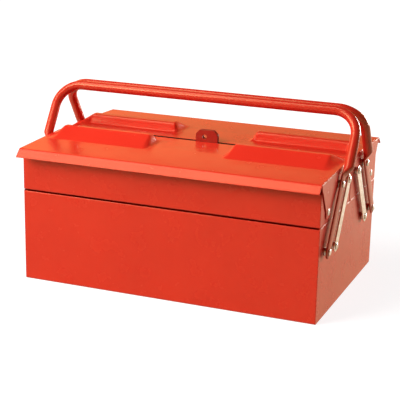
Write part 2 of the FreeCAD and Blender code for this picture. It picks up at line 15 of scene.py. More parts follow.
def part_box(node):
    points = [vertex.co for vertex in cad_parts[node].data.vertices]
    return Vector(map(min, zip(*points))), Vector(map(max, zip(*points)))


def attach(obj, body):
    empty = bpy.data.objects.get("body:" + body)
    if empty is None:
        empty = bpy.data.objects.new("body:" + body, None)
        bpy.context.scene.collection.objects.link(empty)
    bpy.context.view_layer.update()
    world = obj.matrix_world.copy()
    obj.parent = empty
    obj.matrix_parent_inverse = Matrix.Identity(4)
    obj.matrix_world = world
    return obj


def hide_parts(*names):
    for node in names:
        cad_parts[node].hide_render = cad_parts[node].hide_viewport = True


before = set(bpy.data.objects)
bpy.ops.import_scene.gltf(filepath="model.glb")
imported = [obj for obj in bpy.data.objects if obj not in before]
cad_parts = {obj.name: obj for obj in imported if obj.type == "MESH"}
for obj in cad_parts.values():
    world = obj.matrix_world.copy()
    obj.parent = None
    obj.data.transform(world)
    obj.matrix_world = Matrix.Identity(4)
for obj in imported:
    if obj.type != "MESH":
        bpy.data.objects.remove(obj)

MM = 0.001
ARC_STEP = math.radians(15)
LEAST_TURN = ARC_STEP / 3
ROUND_COUNT = 28
BEND_STEPS = 3
FINE_SHARE, HEM_SHARE = 0.3, 0.95
FLAT_WEIGHT = 50
EDGE_SAMPLES = 4
EDGE_MATCH = (0.72, 0.995)
MIX_SHARE, MIX_FIRST, MIX_SECOND, MIX_RESULT = 0, 6, 7, 2
REPORT = logging.getLogger("tool_box")

Point = tuple[float, float]
Corner = tuple[float, float, float]
Triple = tuple[float, float, float]
Colour = tuple[float, float, float]
Placing = Callable[[float, float, float], Vector]
Outline = Sequence[Vector]
Socket = bpy.types.NodeSocket
WHITE: Colour = (1.0, 1.0, 1.0)


class Half(Enum):
    """One of two mirrored halves; the value is the sign of the axis there."""

    @property
    def word(self) -> str:
        """The half's word in the names of nodes and bodies."""
        return self.name.lower()


class Side(Half):
    """The front or the rear half of the box, along Y."""

    FRONT = -1
    REAR = 1


class End(Half):
    """The left or the right end of the box, along X."""

    LEFT = -1
    RIGHT = 1


class Form(Enum):
    """The three sections of a lid, along its length."""

    POD = "pod"
    RECESS = "recess"
    END = "end"


class Slot(Enum):
    """The record's material slots."""

    BOX = "red_paint"
    LID = "lid_paint"
    HANDLE = "handle_paint"
    HASP = "hasp_paint"
    LINK = "zinc_plate"
    RIVET = "rivet_steel"


def along_x(u: float, v: float, run: float) -> Vector:
    """A point of a section drawn in Y and Z that runs along X."""
    return Vector((run, u, v))


def along_y(u: float, v: float, run: float) -> Vector:
    """A point of a section drawn in X and Z that runs along Y."""
    return Vector((u, run, v))


def filleted(corners: Sequence[Corner]) -> list[Vector]:
    """Rounds each corner of a closed outline with its own radius.

    Args:
        corners: Each corner's two coordinates and its radius, in order.

    Returns:
        The outline's points, with an arc in place of each rounded corner.
    """
    points: list[Vector] = []
    count = len(corners)
    for index, (u, v, radius) in enumerate(corners):
        here = Vector((u, v))
        back = Vector(corners[index - 1][:2]) - here
        ahead = Vector(corners[(index + 1) % count][:2]) - here
        angle = back.angle(ahead)
        if radius <= 0 or math.pi - angle < LEAST_TURN:
            points.append(here)
            continue
        spread = math.tan(angle / 2)
        reach = min(radius / spread, back.length / 2, ahead.length / 2)
        inward = (back.normalized() + ahead.normalized()).normalized()
        centre = here + inward * (reach / math.cos(angle / 2))
        first = here + back.normalized() * reach - centre
        last = here + ahead.normalized() * reach - centre
        turn = math.copysign(math.pi - angle, first.x * last.y - first.y * last.x)
        steps = max(2, math.ceil(abs(turn) / ARC_STEP))
        for step in range(steps + 1):
            points.append(centre + Matrix.Rotation(turn * step / steps, 2) @ first)
    return points


def circle(u: float, v: float, radius: float, count: int = ROUND_COUNT) -> list[Vector]:
    """The points of a circle about (u, v)."""
    angles = [math.tau * index / count for index in range(count)]
    return [Vector((u + radius * math.cos(a), v + radius * math.sin(a))) for a in angles]


def drawn_in(loop: Outline, distance: float) -> list[Vector]:
    """Moves an outline towards its left-hand side, with mitred corners.

    Args:
        loop: The outline's points, with the material on the left of the way round.
        distance: How far each edge moves.

    Returns:
        The moved points, in the same order.
    """
    moved = []
    for index, here in enumerate(loop):
        arriving = (here - loop[index - 1]).normalized()
        leaving = (loop[(index + 1) % len(loop)] - here).normalized()
        mitre = Vector((-arriving.y - leaving.y, arriving.x + leaving.x))
        moved.append(here + mitre * (distance / max(0.5, 1 + arriving.dot(leaving))))
    return moved


def rectangle(half: float, low: float, high: float, foot: float, head: float) -> list[Corner]:
    """A rectangle about the middle, with one radius for its lower corners and one for its upper ones."""
    return [(-half, low, foot), (half, low, foot), (half, high, head), (-half, high, head)]


def quarter(steps: int, first: int = 0) -> list[float]:
    """The angles of a quarter turn in equal steps, from the given step to the right angle."""
    return [math.pi / 2 * step / steps for step in range(first, steps + 1)]


def divided(places: Sequence[float], steps: Sequence[float]) -> list[float]:
    """Splits the stretches between places.

    Args:
        places: The ends of the stretches, in order.
        steps: About how long the pieces of each stretch are.

    Returns:
        Every place from the first one on, without the last one.
    """
    split: list[float] = []
    for start, stop, step in zip(places, places[1:], steps):
        count = max(1, round(abs(stop - start) / step))
        split += [start + (stop - start) * index / count for index in range(count)]
    return split


def turning(loop: Outline) -> float:
    """Twice the signed area inside an outline: positive where it runs counter-clockwise."""
    return sum(a.x * b.y - a.y * b.x for a, b in zip(loop, [*loop[1:], loop[0]]))


class NodeSheet:
    """A material's node tree, with short ways to add and join its nodes."""

    def __init__(self, tree: bpy.types.NodeTree) -> None:
        """Empties the node tree of a material or of the world."""
        self.tree = tree
        tree.nodes.clear()

    def add(self, kind: str, settings: dict | None = None, **inputs: object) -> bpy.types.Node:
        """Adds one node.

        Args:
            kind: Blender's name for the kind of node.
            settings: The node's own properties.
            **inputs: Values or sockets for its inputs, spaces in their names as underscores.

        Returns:
            The new node.
        """
        node = self.tree.nodes.new(kind)
        for name, value in (settings or {}).items():
            setattr(node, name, value)
        for name, value in inputs.items():
            key = int(name[1:]) if name[1:].isdigit() else name.replace("_", " ")
            self.feed(node.inputs[key], value)
        return node

    def feed(self, socket: Socket, value: object) -> None:
        """Links a socket to the input, or sets the input's own value."""
        if isinstance(value, Socket):
            self.tree.links.new(value, socket)
        else:
            socket.default_value = value

    def noise(self, place: Socket, scale: float, detail: float) -> Socket:
        """A noise value between 0 and 1, at that many cells to the metre."""
        node = self.add("ShaderNodeTexNoise", Vector=place, Scale=scale, Detail=detail, Roughness=0.55)
        return node.outputs["Fac"]

    def span(self, value: Socket, low: float, high: float, source: Point) -> Socket:
        """Maps a value from its source range to low and high."""
        node = self.add("ShaderNodeMapRange", Value=value)
        node.inputs["From Min"].default_value, node.inputs["From Max"].default_value = source
        node.inputs["To Min"].default_value, node.inputs["To Max"].default_value = low, high
        return node.outputs["Result"]

    def sum(self, operation: str, first: object, second: object) -> Socket:
        """One step of arithmetic on two values."""
        return self.add("ShaderNodeMath", {"operation": operation}, _0=first, _1=second).outputs[0]

    def mixed(self, share: object, first: object, second: object) -> Socket:
        """A mix of two colours."""
        node = self.add("ShaderNodeMix", {"data_type": "RGBA"})
        self.feed(node.inputs[MIX_SHARE], share)
        self.feed(node.inputs[MIX_FIRST], first)
        self.feed(node.inputs[MIX_SECOND], second)
        return node.outputs[MIX_RESULT]

    def bump(self, height: Socket, depth: float, normal: Socket | None = None) -> Socket:
        """A bumped normal, on top of another where one is given."""
        node = self.add("ShaderNodeBump", Height=height, Distance=depth, Strength=1.0)
        if normal is not None:
            self.feed(node.inputs["Normal"], normal)
        return node.outputs["Normal"]

    def edges(self, radius: float) -> Socket:
        """How near a point is to a sharp edge, from 0 on a flat face to about 1 on the edge."""
        rounded = self.add("ShaderNodeBevel", {"samples": EDGE_SAMPLES}, Radius=radius).outputs["Normal"]
        plain = self.add("ShaderNodeNewGeometry").outputs["Normal"]
        match = self.add("ShaderNodeVectorMath", {"operation": "DOT_PRODUCT"}, _0=rounded, _1=plain)
        return self.span(match.outputs["Value"], 1.0, 0.0, EDGE_MATCH)


def blank_material(name: str) -> tuple[bpy.types.Material, NodeSheet, Socket]:
    """A new material, its empty node tree, and the point in its object's coordinates."""
    made = bpy.data.materials.new(name)
    made.use_nodes = True
    sheet = NodeSheet(made.node_tree)
    return made, sheet, sheet.add("ShaderNodeTexCoord").outputs["Object"]


@dataclass(frozen=True)
class Enamel:
    """Glossy stoved enamel: orange peel, a little unevenness of the sheet below, rubbed edges, and painted
    shade in the seam where one is given.

    Each noise is given as its cells to the metre and its detail. The shaded seam is given as the half length,
    half width and top of the place between the lids where a dark line of painted shade lies.
    """

    name: str
    colour: Colour
    deep: Colour
    worn: Colour = (0.60, 0.075, 0.040)
    # Painted shade: the near-black colour of the dark line painted into the seam between the lids.
    seam_shade_colour: Colour = (0.012, 0.008, 0.007)
    shine: Colour = (1.0, 0.76, 0.40)
    gloss: float = 0.17
    gloss_spread: Point = (-0.035, 0.05)
    gloss_limits: Point = (0.3, 0.7)
    worn_dulling: float = 0.22
    shade_dulling: float = 0.8
    refraction: float = 1.5
    clouds: Point = (14.0, 3.0)
    cloud_limits: Point = (0.30, 0.72)
    grain: Point = (900.0, 1.0)
    grain_share: float = 0.10
    edge_radius: float = 0.9 * MM
    rubs: Point = (160.0, 2.0)
    rub_limits: Point = (0.46, 0.66)
    rub_share: float = 0.55
    dulls: Point = (38.0, 4.0)
    waves: Point = (7.5, 1.0)
    wave_depth: float = 0.22 * MM
    peel: Point = (420.0, 1.5)
    peel_depth: float = 0.022 * MM
    shaded_seam: Triple | None = None
    shade_band: float = 2.0 * MM
    band_fade: float = 0.7
    fades: Triple = (1 * MM, 0.2 * MM, 0.25 * MM)

    def material(self) -> bpy.types.Material:
        """Makes the material.

        Returns:
            The enamel's material, in its own object's coordinates.
        """
        made, sheet, place = blank_material(self.name)
        grain = sheet.span(sheet.noise(place, *self.grain), -self.grain_share, self.grain_share, (0.0, 1.0))
        cloud = sheet.sum("ADD", sheet.noise(place, *self.clouds), grain)
        shade = sheet.span(cloud, 0.0, 1.0, self.cloud_limits)
        colour = sheet.mixed(shade, (*self.deep, 1.0), (*self.colour, 1.0))
        rubs = sheet.span(sheet.noise(place, *self.rubs), 0.0, self.rub_share, self.rub_limits)
        rubbed = sheet.sum("MULTIPLY", sheet.edges(self.edge_radius), rubs)
        colour = sheet.mixed(rubbed, colour, (*self.worn, 1.0))
        limits = [self.gloss + spread for spread in self.gloss_spread]
        dull = sheet.span(sheet.noise(place, *self.dulls), *limits, self.gloss_limits)
        rough = sheet.sum("ADD", dull, sheet.sum("MULTIPLY", rubbed, self.worn_dulling))
        normal = sheet.bump(sheet.noise(place, *self.waves), self.wave_depth)
        normal = sheet.bump(sheet.noise(place, *self.peel), self.peel_depth, normal)
        # Painted shade: a dark line in the seam between the lids, where the paint is also made rougher.
        if self.shaded_seam is not None:
            seam_shade = self.painted_seam_shade(sheet, place)
            colour = sheet.mixed(seam_shade, colour, (*self.seam_shade_colour, 1.0))
            rough = sheet.sum("ADD", rough, sheet.sum("MULTIPLY", seam_shade, self.shade_dulling))
        look = {"Base_Color": colour, "Roughness": rough, "Normal": normal, "IOR": self.refraction}
        paint = sheet.add("ShaderNodeBsdfPrincipled", **look, Specular_Tint=(*self.shine, 1.0))
        sheet.add("ShaderNodeOutputMaterial", Surface=paint.outputs[0])
        return made

    def painted_seam_shade(self, sheet: NodeSheet, place: Socket) -> Socket:
        """Where shade is painted: a thin dark line high on the skirts, in the seam between the lids.

        Args:
            sheet: The material's node tree.
            place: The point, in the object's coordinates.

        Returns:
            1 in the seam and 0 outside it.
        """
        half_length, half_width, top = self.shaded_seam
        parts = sheet.add("ShaderNodeSeparateXYZ", Vector=place).outputs
        x, y = (sheet.sum("ABSOLUTE", parts[axis], 0.0) for axis in "XY")
        bottom = top - self.shade_band
        inside = sheet.span(x, 1.0, 0.0, (half_length - self.fades[0], half_length))
        near = sheet.span(y, 1.0, 0.0, (half_width - self.fades[1], half_width))
        low = sheet.span(parts["Z"], 1.0, 0.0, (top - self.fades[2], top))
        high = sheet.span(parts["Z"], 0.0, 1.0, (bottom, top - self.shade_band * self.band_fade))
        return sheet.sum("MULTIPLY", sheet.sum("MULTIPLY", inside, near), sheet.sum("MULTIPLY", low, high))


@dataclass(frozen=True)
class Plating:
    """Zinc plate on steel: fine rolling lines, faint cloudiness, and darker handled edges.

    Each noise is given as its cells to the metre and its detail.
    """

    name: str
    colour: Colour
    dark: Colour
    gloss: float
    stretch: Triple = (1.0, 1.0, 1.0)
    gloss_spread: Point = (-0.07, 0.09)
    gloss_limits: Point = (0.7, 1.3)
    clouds: Point = (120.0, 4.0)
    cloud_limits: Point = (0.35, 0.7)
    lines: Point = (1500.0, 2.0)
    scratch_depth: float = 0.008 * MM
    edge_radius: float = 0.5 * MM
    edge_span: Point = (0.1, 0.6)
    edge_limits: Point = (0.4, 0.65)

    def material(self) -> bpy.types.Material:
        """Makes the material.

        Returns:
            The plating's material, in its own object's coordinates.
        """
        made, sheet, place = blank_material(self.name)
        drawn = sheet.add("ShaderNodeVectorMath", {"operation": "MULTIPLY"}, _0=place, _1=self.stretch)
        cloud = sheet.noise(place, *self.clouds)
        lines = sheet.noise(drawn.outputs[0], *self.lines)
        shade = sheet.span(cloud, 0.0, 1.0, self.cloud_limits)
        colour = sheet.mixed(shade, (*self.dark, 1.0), (*self.colour, 1.0))
        handled = sheet.span(cloud, *self.edge_span, self.edge_limits)
        edge = sheet.sum("MULTIPLY", sheet.edges(self.edge_radius), handled)
        colour = sheet.mixed(edge, colour, (*self.dark, 1.0))
        limits = [self.gloss + spread for spread in self.gloss_spread]
        rough = sheet.span(sheet.sum("ADD", cloud, lines), *limits, self.gloss_limits)
        normal = sheet.bump(lines, self.scratch_depth)
        look = {"Base_Color": colour, "Roughness": rough, "Normal": normal, "Metallic": 1.0}
        metal = sheet.add("ShaderNodeBsdfPrincipled", **look)
        sheet.add("ShaderNodeOutputMaterial", Surface=metal.outputs[0])
        return made


class Finishes:
    """The materials, one for each of the record's slots."""

    def __init__(self) -> None:
        """Makes every material once."""
        # Where the lid enamel paints shade: the dark line in the seam between the lids.
        shaded_seam = (82 * MM, 7 * MM, 184.08 * MM)
        kinds = {
            Slot.BOX: Enamel("box_enamel", (0.83, 0.031, 0.015), (0.77, 0.027, 0.014), gloss=0.25),
            Slot.LID: Enamel("lid_enamel", (0.85, 0.034, 0.016), (0.80, 0.029, 0.014), gloss=0.23, shaded_seam=shaded_seam),
            Slot.HANDLE: Enamel(
                "handle_enamel", (0.66, 0.026, 0.014), (0.58, 0.022, 0.012), gloss=0.19, wave_depth=0.05 * MM
            ),
            Slot.HASP: Enamel(
                "hasp_enamel", (0.40, 0.018, 0.012), (0.32, 0.015, 0.011), gloss=0.24, wave_depth=0.03 * MM
            ),
            Slot.LINK: Plating("bright_zinc", (0.80, 0.81, 0.80), (0.60, 0.61, 0.62), 0.24, (1.0, 1.0, 0.12)),
            Slot.RIVET: Plating("rivet_zinc", (0.70, 0.69, 0.66), (0.46, 0.45, 0.43), 0.30),
        }
        self.made = {slot: kind.material() for slot, kind in kinds.items()}

    def dress(self, item: bpy.types.Object, slot: Slot) -> None:
        """Puts a slot's material on a piece or on a node of the frame."""
        item.data.materials.clear()
        item.data.materials.append(self.made[slot])


class Draft:
    """One piece's mesh while it is being made."""

    def __init__(self) -> None:
        """Starts an empty mesh."""
        self.mesh = bmesh.new()

    def skin(
        self, rings: Sequence[Outline], closed: bool = True, capped: bool = True
    ) -> list[list[bmesh.types.BMVert]]:
        """Joins rings of points into a surface of four-sided faces.

        Args:
            rings: Rows of points, all with the same count.
            closed: Whether each row joins up with its own start.
            capped: Whether the first and last rows are filled in.

        Returns:
            The rows of vertices.
        """
        rows = [[self.mesh.verts.new(point) for point in ring] for ring in rings]
        for low, high in zip(rows, rows[1:]):
            for index in range(len(low) if closed else len(low) - 1):
                following = (index + 1) % len(low)
                self.mesh.faces.new((low[index], low[following], high[following], high[index]))
        if capped:
            self.mesh.faces.new(list(reversed(rows[0])))
            self.mesh.faces.new(rows[-1])
        return rows

    def run(self, corners: Sequence[Corner], near: float, far: float, placing: Placing = along_x) -> None:
        """A rounded section that runs straight from near to far."""
        loop = filleted(corners)
        self.skin([[placing(*p, place) for p in loop] for place in (near, far)])

    def plate(
        self, loops: Sequence[Outline], near: float, far: float, edge: float, placing: Placing = along_x
    ) -> None:
        """A flat plate with bores, its edges rounded on both faces.

        Args:
            loops: The outline first, then each bore.
            near: Where the plate starts along its thickness.
            far: Where it ends.
            edge: The radius of its edges.
            placing: Which way the plate faces.
        """
        turned = [list(loops[0]) if turning(loops[0]) > 0 else list(reversed(loops[0]))]
        turned += [list(loop) if turning(loop) < 0 else list(reversed(loop)) for loop in loops[1:]]
        inward = math.copysign(edge, far - near)
        layers = [(edge * (1 - math.sin(a)), near + inward * (1 - math.cos(a))) for a in quarter(BEND_STEPS)]
        layers += [(inset, near + far - place) for inset, place in reversed(layers)]
        walls = []
        for loop in turned:
            rings = [[placing(*p, place) for p in drawn_in(loop, inset)] for inset, place in layers]
            walls.append(self.skin(rings, capped=False))
        flat = [[(*p, 0.0) for p in drawn_in(loop, edge)] for loop in turned]
        for cap in (0, -1):
            corners = [vertex for rows in walls for vertex in rows[cap]]
            for triangle in geometry.tessellate_polygon(flat):
                self.mesh.faces.new([corners[index] for index in triangle])

    def turned(self, profile: Sequence[Point], y: float, z: float, end: End) -> None:
        """A piece turned about a line along X through (y, z), at one end of the box."""
        sign = end.value
        self.skin([[along_x(*p, sign * place) for p in circle(y, z, radius)] for place, radius in profile])

    def move(self, matrix: Matrix) -> None:
        """Puts everything drawn so far in another place."""
        bmesh.ops.transform(self.mesh, matrix=matrix, verts=self.mesh.verts)

    def piece(self, name: str, sharp: float = 40.0, closed: bool = True) -> bpy.types.Object:
        """Turns the draft into an object.

        Args:
            name: The piece's name.
            sharp: The angle in degrees from which an edge stays sharp.
            closed: Whether the mesh is a closed solid, whose faces are turned outwards.

        Returns:
            The new object, in the scene.
        """
        if closed:
            bmesh.ops.recalc_face_normals(self.mesh, faces=self.mesh.faces)
        data = bpy.data.meshes.new(name)
        self.mesh.to_mesh(data)
        self.mesh.free()
        data.shade_smooth()
        if closed:
            data.set_sharp_from_angle(angle=math.radians(sharp))
        item = bpy.data.objects.new(name, data)
        bpy.context.scene.collection.objects.link(item)
        return item


@dataclass
class Workshop:
    """Hands finished pieces over to the frame."""

    finishes: Finishes

    def hand_over(self, item: bpy.types.Object, body: str, slot: Slot, node: str, flat: bool = True) -> None:
        """Dresses a piece and puts it in place of its node.

        Args:
            item: The piece.
            body: The body that it moves with.
            slot: Its material slot.
            node: The node of the frame that it stands for.
            flat: Whether its large faces are shaded flat next to their rounded edges.
        """
        if flat:
            even = item.modifiers.new("even_shading", "WEIGHTED_NORMAL")
            even.keep_sharp = True
            even.weight = FLAT_WEIGHT
        self.finishes.dress(item, slot)
        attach(item, body)
        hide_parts(node)
        REPORT.info("%s on %s: %d faces", item.name, body, len(item.data.polygons))


@dataclass
class BoxSizes:
    """The sizes that the pieces share, from the frame's own nodes and a few of the part's driving sizes."""

    sheet: float = 1.0 * MM
    stand_off: float = 3.0 * MM
    strap_thickness: float = 3.4 * MM
    link_thickness: float = 2.0 * MM
    link_width: float = 14.5 * MM
    side_play: float = 0.3 * MM
    rivet_radius: float = 2.5 * MM
    head_radius: float = 4.4 * MM
    head_height: float = 1.8 * MM
    tail_radius: float = 4.0 * MM
    tail_height: float = 1.2 * MM
    bush_radius: float = 5.0 * MM
    flange: float = 9.0 * MM
    corner_gap: float = 0.5 * MM

    def __post_init__(self) -> None:
        """Reads the places of walls and pivots from the frame."""
        base_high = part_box("base_end_right")[1]
        self.end_x = base_high.x
        self.wall_x = base_high.x - self.sheet
        self.half_depth = base_high.y
        self.rim = base_high.z
        self.wall_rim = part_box("base_wrap")[1].z
        tray_low, tray_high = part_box("rear_tray_pan")
        self.tray_floor = tray_low.z
        self.tray_rim = tray_high.z
        self.tray_inside = tray_low.y
        self.tray_end_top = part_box("rear_tray_end_right")[1].z
        self.arm_base = self.outer_pivot("base_arm_rivets")
        self.link_base = self.outer_pivot("base_link_rivets")
        self.arm_tray = self.pivot("rear_tray_arm_rivets")
        self.link_tray = self.pivot("rear_tray_link_rivets")
        self.hinge = self.pivot("rear_lid_rivets")
        self.strap_x = self.end_x + self.stand_off
        across = self.arm_base[0] - self.arm_tray[0]
        up = self.arm_tray[1] - self.arm_base[1]
        self.arm_length = math.hypot(across, up)
        self.lean = math.atan2(across, up)

    @staticmethod
    def pivot(node: str) -> Point:
        """The distance from the middle and the height of a rear pivot, from its pair of rivets."""
        low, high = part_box(node)
        return (low.y + high.y) / 2, (low.z + high.z) / 2

    def outer_pivot(self, node: str) -> Point:
        """The distance from the middle and the height of a base pivot, from its four rivets."""
        low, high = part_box(node)
        return high.y - self.head_radius, (low.z + high.z) / 2

    def leaning(self, side: Side, pivot: Point) -> Matrix:
        """The placing of an arm or link: it stands on the pivot and leans inwards."""
        place = Matrix.Translation((0, side.value * pivot[0], pivot[1]))
        return place @ Matrix.Rotation(side.value * self.lean, 4, "X")


@dataclass
class Maker:
    """What every maker of pieces needs: the shared sizes and the workshop."""

    sizes: BoxSizes
    workshop: Workshop


@dataclass
class FoldedSheet:
    """The section of a trough of folded sheet, with closed hems along both rims."""

    sizes: BoxSizes
    floor: float
    rim: float
    hem: float
    outside: float
    inside: float
    outer_bend: float = 2.2 * MM
    inner_bend: float = 1.2 * MM
    hem_gap: float = 0.12 * MM

    def wall(self, face: float, inward: float) -> list[Corner]:
        """One wall with its hem, from the outer bottom corner round to the inner one.

        Args:
            face: Where the wall's outer face stands.
            inward: The sign of the way towards the inside of the trough.

        Returns:
            The corners of that wall's outline.
        """
        sheet = self.sizes.sheet
        fine = sheet * FINE_SHARE
        slit = face + inward * (sheet - self.hem_gap / 2)
        leaf = face + inward * (sheet + self.hem_gap / 2)
        back = face + inward * 2 * sheet
        return [
            (face, self.floor, self.outer_bend),
            (face, self.rim, sheet * HEM_SHARE),
            (back, self.rim, sheet * HEM_SHARE),
            (back, self.rim - self.hem, fine),
            (leaf, self.rim - self.hem, fine),
            (leaf, self.rim - sheet, 0.0),
            (slit, self.rim - sheet, 0.0),
            (slit, self.floor + sheet, self.inner_bend),
        ]

    def section(self) -> list[Corner]:
        """The whole closed section."""
        inward = math.copysign(1.0, self.inside - self.outside)
        return self.wall(self.outside, inward) + list(reversed(self.wall(self.inside, -inward)))

    def lining(self, top: float) -> list[Corner]:
        """The section of an end's flange, which lines the inside of the trough."""
        sheet = self.sizes.sheet
        inward = math.copysign(1.0, self.inside - self.outside)
        corners = []
        for face, way in ((self.outside, inward), (self.inside, -inward)):
            near = face + way * sheet
            far = face + way * 2 * sheet
            side = [
                (near, self.floor + sheet, self.inner_bend),
                (near, top, sheet * FINE_SHARE),
                (far, top, sheet * FINE_SHARE),
                (far, self.floor + 2 * sheet, self.inner_bend / 2),
            ]
            corners += side if way == inward else list(reversed(side))
        return corners


@dataclass
class Base(Maker):
    """The deep open box at the bottom: one folded sheet and two flanged ends."""

    hem: float = 8.0 * MM
    foot_radius: float = 2.2 * MM
    rim_radius: float = 0.9 * MM
    edge: float = 0.45 * MM

    def build(self) -> None:
        """Makes the wrap and both ends."""
        s = self.sizes
        folded = FoldedSheet(s, 0.0, s.wall_rim, self.hem, s.half_depth, -s.half_depth)
        wrap = Draft()
        wrap.run(folded.section(), -s.wall_x, s.wall_x)
        self.workshop.hand_over(wrap.piece("base_wrap_folded"), "base", Slot.BOX, "base_wrap")
        for end in End:
            self.build_end(end, folded)

    def build_end(self, end: End, folded: FoldedSheet) -> None:
        """Makes one end: a bored plate, its flange along the floor and walls, and its hem.

        Args:
            end: Which end.
            folded: The wrap's section, which the flange lines.
        """
        s = self.sizes
        draft = Draft()
        outline = filleted(rectangle(s.half_depth, 0.0, s.rim, self.foot_radius, self.rim_radius))
        pivots = (s.arm_base, s.link_base)
        bores = [circle(side.value * y, z, s.rivet_radius) for side in Side for y, z in pivots]
        draft.plate([outline, *bores], end.value * s.wall_x, end.value * s.end_x, self.edge)
        inner = end.value * (s.wall_x - s.flange)
        draft.run(folded.lining(s.wall_rim - self.hem - s.corner_gap), inner, end.value * s.wall_x)
        hem_half = s.half_depth - 2 * s.sheet - s.corner_gap
        hem = rectangle(hem_half, s.rim - self.hem, s.rim, s.sheet * FINE_SHARE, self.rim_radius / 2)
        draft.run(hem, end.value * (s.wall_x - s.sheet), end.value * s.wall_x)
        node = "base_end_" + end.word
        self.workshop.hand_over(draft.piece(node + "_formed"), "base", Slot.BOX, node)


@dataclass
class Tray(Maker):
    """One upper tray: a folded pan and two flanged ends."""

    side: Side
    hem: float = 6.0 * MM
    chamfer: float = 12.0 * MM
    edge: float = 0.45 * MM

    def build(self) -> None:
        """Makes the pan and both ends."""
        s = self.sizes
        faces = [self.side.value * y for y in (s.half_depth, s.tray_inside)]
        folded = FoldedSheet(s, s.tray_floor, s.tray_rim, self.hem, *faces)
        pan = Draft()
        pan.run(folded.section(), -s.wall_x, s.wall_x)
        body = self.side.word + "_tray"
        self.workshop.hand_over(pan.piece(body + "_folded"), body, Slot.BOX, body + "_pan")
        for end in End:
            self.build_end(end, folded)

    def build_end(self, end: End, folded: FoldedSheet) -> None:
        """Makes one end of the tray, with its three bores and its flange.

        Args:
            end: Which end.
            folded: The pan's section, which the flange lines.
        """
        s, sign = self.sizes, self.side.value
        soft = s.sheet
        outline = filleted([
            (sign * s.half_depth, s.tray_floor, 2 * soft),
            (sign * s.half_depth, s.tray_rim, 2 * soft),
            (sign * (s.half_depth - self.chamfer), s.tray_end_top, 2 * soft),
            (sign * s.tray_inside, s.tray_end_top, soft),
            (sign * s.tray_inside, s.tray_floor, 2 * soft),
        ])
        bores = [circle(sign * y, z, s.rivet_radius) for y, z in (s.arm_tray, s.link_tray, s.hinge)]
        draft = Draft()
        draft.plate([outline, *bores], end.value * s.wall_x, end.value * s.end_x, self.edge)
        inner = end.value * (s.wall_x - s.flange)
        draft.run(folded.lining(s.tray_rim - self.hem - s.corner_gap), inner, end.value * s.wall_x)
        body = self.side.word + "_tray"
        node = body + "_end_" + end.word
        self.workshop.hand_over(draft.piece(node + "_formed"), body, Slot.BOX, node)


